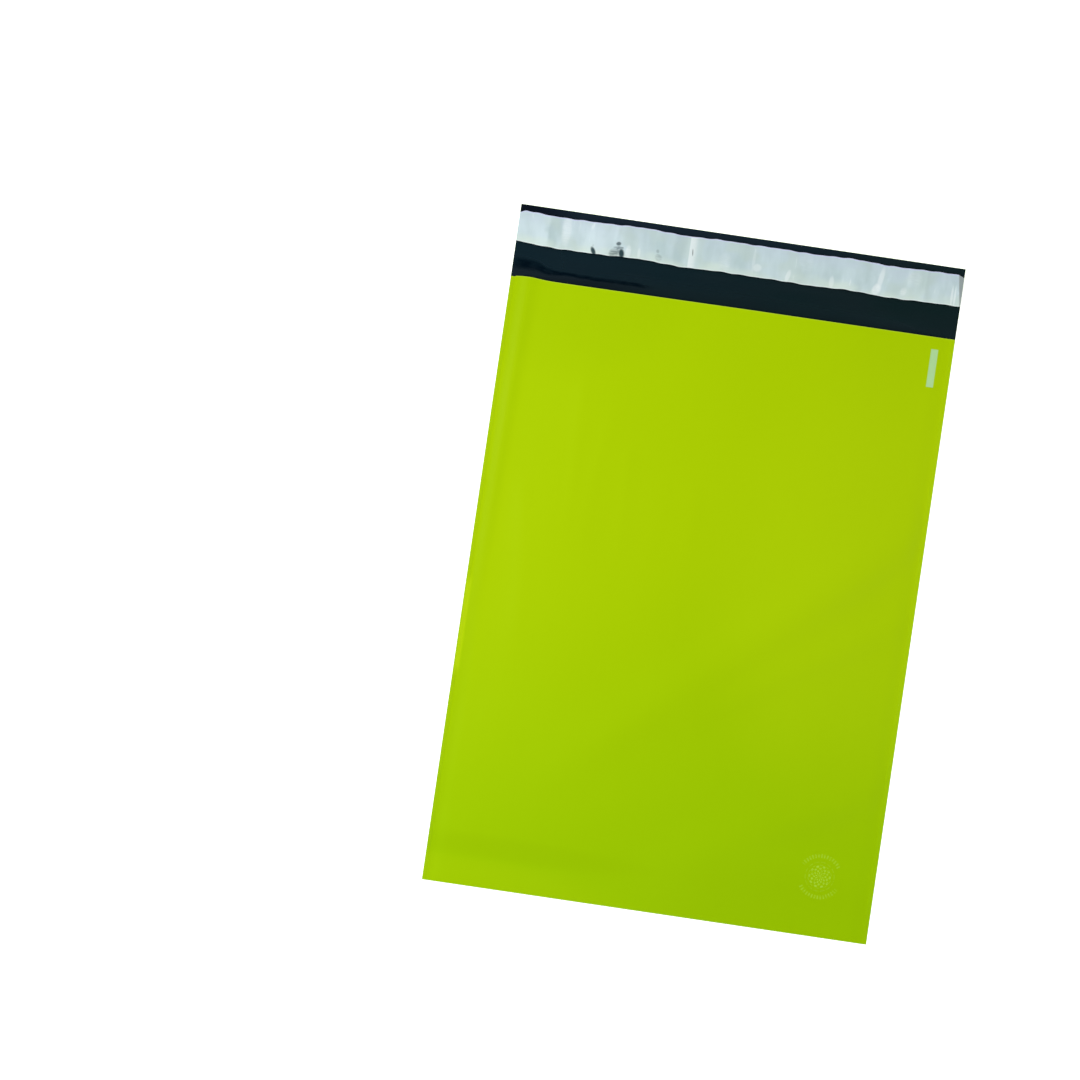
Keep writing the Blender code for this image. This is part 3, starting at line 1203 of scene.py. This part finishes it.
    def mouth_shift(self, x: Grid) -> Grid:
        """Shifts the front's cut edge: a bulge beside the left weld, less its slant and the loft's pull.

        Args:
            x: Places across the bag.

        Returns:
            How far the edge runs on at each place.
        """
        middle = self.bulge_inset - self.bag.side_x
        bulge = self.mouth_bulge * np.exp(-(((x - middle) / self.bulge_spread) ** 2))
        pull = self.mouth_pull * (1 - (x / self.bag.pocket_x) ** 2)
        left = np.clip((self.slant_start - x) / (self.slant_start + self.bag.side_x), 0, 1)
        return bulge * (np.abs(x) < self.bag.pocket_x) - pull - self.mouth_slant * left

    def flap_creases(self, x: Grid, y: Grid) -> Grid:
        """Lifts the flap's creases: a long one in the left third, and a faint one at the right.

        Args:
            x: Places across the bag.
            y: Places along the bag.

        Returns:
            The lift at each place.
        """
        side, mouth = self.bag.side_x, self.bag.mouth_y
        path = mouth + self.bag.crease_up(x + side)
        left = self.crease_height * np.exp(-(((y - path) / self.crease_spread) ** 2))
        right = SoftFold((side, mouth + 0.0125), (0.085, mouth + 0.0085), 0.00010, 0.0016)
        return left * smooth((self.crease_end - x) / self.crease_fade) + right.lift(x, y)

    def grid(self) -> tuple[Grid, Grid]:
        """Lays the blank's rows out, from the mouth down the front, round the fold, up the back and the flap.

        Returns:
            The film's points, and the same points on the flat blank.
        """
        bag, half = self.bag, self.bag.film / 2
        x = self.across()
        tight = smooth((bag.pocket_x - np.abs(x)) / self.fold_tightening)
        radius = half + (self.fold_radius - half) * tight
        turn_y = bag.fold_y + half + radius
        rows, flats = [], []

        def lay(y: Grid, z: Grid, along: Grid | float) -> None:
            """Adds one row, and its place along the blank."""
            rows.append(np.stack([x, y, z], axis=-1))
            flats.append(np.stack([x + bag.side_x, along + 0 * x], axis=-1))

        for share in np.linspace(0.0, 1.0, self.front_rows + 1):
            y = bag.mouth_y + (turn_y - bag.mouth_y) * share
            z = half + 2 * radius + self.pocket_height(x, y)
            shift = self.mouth_shift(x) * max(0.0, 1 - share * bag.front / self.shift_reach)
            lay(y + shift, z, bag.mouth_y - y)
        for angle in np.linspace(0.5, 1.5, self.fold_rows + 1)[1:-1] * np.pi:
            lay(turn_y + radius * np.cos(angle), half + radius * (1 + np.sin(angle)), bag.front)
        for share in np.linspace(0.0, 1.0, self.back_rows + 1):
            y = turn_y + (bag.mouth_y - turn_y) * share
            lay(y, half + 0 * x, bag.front + y - bag.fold_y)
        for y in np.linspace(bag.mouth_y, bag.tip_y, self.flap_rows + 1)[1:]:
            y = y + 0 * x
            z = half + bag.flap_height(x, y) + self.flap_creases(x, y)
            lay(y, z, bag.front + y - bag.fold_y)
        return np.stack(rows), np.stack(flats)

    def build(self) -> bpy.types.Object:
        """Makes the film, dresses both its faces, parents it to the body's empty and hides the CAD film.

        Returns:
            The piece.
        """
        outside, inside = Surface("lime_film"), Surface("black_film")
        LimeFilm().dress(outside, self.bag)
        BlackFilm().dress(inside, self.bag)
        points, blank = self.grid()
        sheet = ThinSheet("mailer_film", points, blank)
        sheet.thicken(self.bag.film, outside, inside)
        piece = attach(sheet.piece, BODY)
        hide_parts("bag_film")
        self.bag.blank
        return piece


@dataclass
class ReleaseLiner:
    """The peel-off strip over the adhesive: it strays a little from straight and lies in soft ripples."""

    bag: BagPlan
    ripple_height: float = 0.0003
    ripple_lengths: tuple[float, float, float] = (0.019, 0.031, 0.0127)
    ripple_lean: float = 1 / 6
    ripple_peak: float = 2.5
    wander_lengths: tuple[float, float, float] = (0.07, 0.06, 0.035)
    wander_heights: tuple[float, float, float] = (0.00026, 0.0004, 0.00015)
    wander_phases: tuple[float, float, float] = (-1.23, 1.61, -2.38)
    nick_height: float = 0.00009
    nick_length: float = 0.0127
    lower_nicks: tuple[Point, ...] = ((1.0, 0.0), (0.7, 1.0))
    upper_nicks: tuple[Point, ...] = ((0.9, 2.0), (0.6, 0.0))
    buckles: tuple[float, ...] = (
        -0.0985, -0.0850, -0.0752, -0.0625, -0.0419, 0.0702, 0.0768, 0.0880, 0.0955, 0.1042,
    )
    buckle_height: Point = (0.00010, 0.00022)
    buckle_spread: Point = (0.0009, 0.0017)
    buckle_lean: float = 0.003
    buckle_fade: float = 0.2
    short_share: float = 0.4
    short_by: float = 0.4
    corner_length: float = 0.003
    corner_drop: float = 0.0015
    end_droop: float = 0.0003
    end_width: Point = (0.0005, 0.0024)
    columns: int = 420
    rows: int = 28
    seed: int = 11

    def wander(self, x: Grid) -> Grid:
        """How far the liner strays sideways from a straight line, in three slow waves."""
        waves = zip(self.wander_lengths, self.wander_heights, self.wander_phases)
        return sum(height * np.sin(TURN * x / length + phase) for length, height, phase in waves)

    def nicks(self, x: Grid, up: Grid) -> Grid:
        """Makes the two slit edges a little uneven, each its own way.

        Args:
            x: Places across the bag.
            up: Places up the liner, from 0 to 1.

        Returns:
            How far each place is off, along the bag.
        """
        lower, upper = (
            sum(np.sin(TURN * x / self.nick_length / ratio + phase) for ratio, phase in nicks)
            for nicks in (self.lower_nicks, self.upper_nicks)
        )
        return self.nick_height * (lower * (1 - up) + upper * up)

    def ripple(self, x: Grid, y: Grid) -> Grid:
        """How high the liner lifts off the adhesive.

        Args:
            x: Places across the bag.
            y: Places along the bag.

        Returns:
            The lift at each place.
        """
        first, second, third = self.ripple_lengths
        lean = (y - self.bag.liner_y) * self.ripple_lean
        waves = np.sin(TURN * (x + lean) / first + 1) + np.sin(TURN * (x - lean) / second + 2)
        waves = waves + np.sin(TURN * x / third) / 2
        return self.ripple_height * (1 + waves / self.ripple_peak)

    def creases(self) -> list[SoftFold]:
        """Draws thin sharp ridges up the strip.

        Returns:
            The splice, and then the small buckles between the strip's two edges.
        """
        draw = random.Random(self.seed)
        low = self.bag.liner_y - self.bag.liner_width / 2
        high = low + self.bag.liner_width
        found = [SoftFold((-0.0262, high), (-0.0256, low), 0.00026, 0.0012, fade_out=0.1, steep=0.6)]
        for x in self.buckles:
            lean = draw.uniform(-self.buckle_lean, self.buckle_lean)
            top = high if draw.random() > self.short_share else high - self.bag.liner_width * self.short_by
            height, spread = draw.uniform(*self.buckle_height), draw.uniform(*self.buckle_spread)
            found.append(SoftFold((x, top), (x + lean, low), height, spread, fade_out=self.buckle_fade))
        return found

    def build(self) -> bpy.types.Object:
        """Makes the liner, dresses it, parents it to the body's empty and hides the CAD liner.

        Returns:
            The piece.
        """
        bag = self.bag
        up = np.linspace(0.0, 1.0, self.rows)[::-1, None]
        x = np.linspace(-1.0, 1.0, self.columns)[None, :] * bag.side_x + 0 * up
        corner = self.corner_drop * np.clip(1 - (bag.side_x - np.abs(x)) / self.corner_length, 0.0, 1.0)
        y = bag.liner_y + self.wander(x) + (up - 0.5) * bag.liner_width - corner * up + self.nicks(x, up)
        start, width = self.end_width
        droop = self.end_droop * smooth((x - bag.side_x + start + width * up) / width)
        z = bag.liner_z + bag.flap_height(x, y) + self.ripple(x, y) - droop
        z = z + sum(crease.lift(x, y) for crease in self.creases())
        blank = np.stack([x + bag.side_x, bag.liner_width * up + 0 * x], axis=-1)
        finish = Surface("silver_liner")
        SilverLiner().dress(finish, bag)
        sheet = ThinSheet("peel_liner", np.stack([x, y, z], axis=-1), blank)
        sheet.thicken(bag.liner_film, finish)
        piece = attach(sheet.piece, BODY)
        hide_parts("release_liner")
        return piece


@dataclass
class AdhesiveStrip:
    """The band of adhesive under the liner: the CAD node itself, with its own finish."""

    node: bpy.types.Object

    def build(self) -> bpy.types.Object:
        """Dresses the CAD node.

        Returns:
            The node's object.
        """
        finish = Surface("clear_adhesive")
        ClearAdhesive().dress(finish)
        for slot in self.node.material_slots:
            slot.material = finish.material
        return self.node


# Studio


@dataclass
class Studio:
    """A pale floor, a soft tent of light that is dark overhead, lamps part of the way up, and the camera.

    Places are given in the photograph's own directions, right and up in it, turned from the bag's.
    """

    turn: float = math.radians(8.395)
    metres_per_pixel: float = 0.0005091
    centre_right: float = 153.73
    centre_down: float = 34.24
    frame_pixels: int = 1080
    lens: float = 300.0
    sensor: float = 36.0
    floor_size: float = 14.0
    floor_colour: Colour = (0.93, 0.93, 0.93)
    floor_glow: float = 0.7
    floor_drop: float = 0.0001
    tent: tuple[Point, ...] = ((0.0, 0.3), (0.3, 0.4), (0.5, 0.6), (0.62, 0.8), (0.72, 0.8), (0.84, 0.0))
    lamp_place: tuple[float, float, float] = (-1.09, 0.23, 0.97)
    lamp_size: float = 0.48
    lamp_watts: float = 9.95
    far_headings: tuple[float, ...] = (45.0, 135.0, 225.0, 315.0)
    far_rise: float = 41.0
    far_spread: float = 34.0
    far_share: float = 0.086

    def at(self, right: float, up: float, height: float) -> Vector:
        """The point in the row frame, from metres to the right, up the photograph and off the floor."""
        cosine, sine = math.cos(self.turn), math.sin(self.turn)
        return Vector((cosine * right - sine * up, sine * right + cosine * up, height))

    def build(self) -> None:
        """Sets up everything that isn't part of the object."""
        self._floor()
        self._tent()
        self._near_lamp()
        self._far_lamps()
        self._camera()
        view = bpy.context.scene.view_settings
        view.view_transform = "Standard"
        view.look = "None"

    def _floor(self) -> None:
        """Lays the pale floor just under the bag."""
        bpy.ops.object.select_all(action="DESELECT")
        bpy.ops.mesh.primitive_plane_add(size=self.floor_size, location=(0.0, 0.0, -self.floor_drop))
        floor = bpy.context.active_object
        floor.name = "studio_floor"
        surface = Surface("pale_floor")
        surface.set(Base_Color=self.floor_colour, Roughness=0.9, Specular_IOR_Level=0.1)
        surface.set(Emission_Color=self.floor_colour, Emission_Strength=self.floor_glow)
        floor.data.materials.append(surface.material)

    def _tent(self) -> None:
        """Lights the room softly from all round, most of all from about 40 degrees up, not from overhead."""
        world = bpy.data.worlds.new("light_tent")
        world.use_nodes = True
        bpy.context.scene.world = world
        nodes = Nodes(world.node_tree)
        height = nodes.split(nodes.node("ShaderNodeTexCoord", {}, {}, "Generated"))[2]
        light = nodes.node("ShaderNodeValToRGB", {"stops": self.tent}, {0: height})
        background = nodes.tree.nodes["Background"]
        nodes.feed(background.inputs["Color"], light)
        nodes.feed(background.inputs["Strength"], 1.0)

    def _hang(self, data: bpy.types.Light, place: Vector) -> None:
        """Hangs a lamp, aimed at the bag.

        Args:
            data: The lamp's light, whose name it takes.
            place: Where it hangs.
        """
        lamp = bpy.data.objects.new(data.name, data)
        lamp.location = place
        lamp.rotation_mode = "QUATERNION"
        lamp.rotation_quaternion = (-place).to_track_quat("-Z", "Y")
        bpy.context.scene.collection.objects.link(lamp)

    def _near_lamp(self) -> None:
        """Hangs one square soft lamp at the left, which makes that side a little brighter."""
        data = bpy.data.lights.new("left_lamp", "AREA")
        data.size = self.lamp_size
        data.energy = self.lamp_watts
        self._hang(data, self.at(*self.lamp_place))

    def _far_lamps(self) -> None:
        """Hangs wide soft lamps far off, spread evenly round the bag."""
        rise = math.radians(self.far_rise)
        for number, heading in enumerate(self.far_headings):
            data = bpy.data.lights.new(f"far_lamp_{number}", "SUN")
            data.angle = math.radians(self.far_spread)
            data.energy = math.pi * self.far_share / math.sin(rise)
            turned = math.radians(heading)
            self._hang(data, self.at(math.cos(turned), math.sin(turned), math.tan(rise)))

    def _camera(self) -> None:
        """Puts the camera straight above the photograph's own middle, turned as the photograph is."""
        data = bpy.data.cameras.new("photo_camera")
        data.lens = self.lens
        data.sensor_width = self.sensor
        data.sensor_fit = "HORIZONTAL"
        height = self.frame_pixels * self.metres_per_pixel * self.lens / self.sensor
        right = -self.centre_right * self.metres_per_pixel
        up = self.centre_down * self.metres_per_pixel
        camera = bpy.data.objects.new("photo_camera", data)
        camera.location = self.at(right, up, height)
        camera.rotation_euler = (0.0, 0.0, self.turn)
        bpy.context.scene.collection.objects.link(camera)
        bpy.context.scene.camera = camera


def main() -> None:
    """Loads the frame, builds and dresses each piece, and sets up the studio."""
    logging.basicConfig(level=logging.INFO, format="%(name)s: %(message)s")
    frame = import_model()
    bag = BagPlan.from_frame()
    for part in (BagFilm(bag), AdhesiveStrip(frame["nodes"]["adhesive_strip"]), ReleaseLiner(bag)):
        piece = part.build()
        LOG.info("%s: %d faces", piece.name, len(piece.data.polygons))
    Studio().build()


if __name__ == "__main__":
    main()
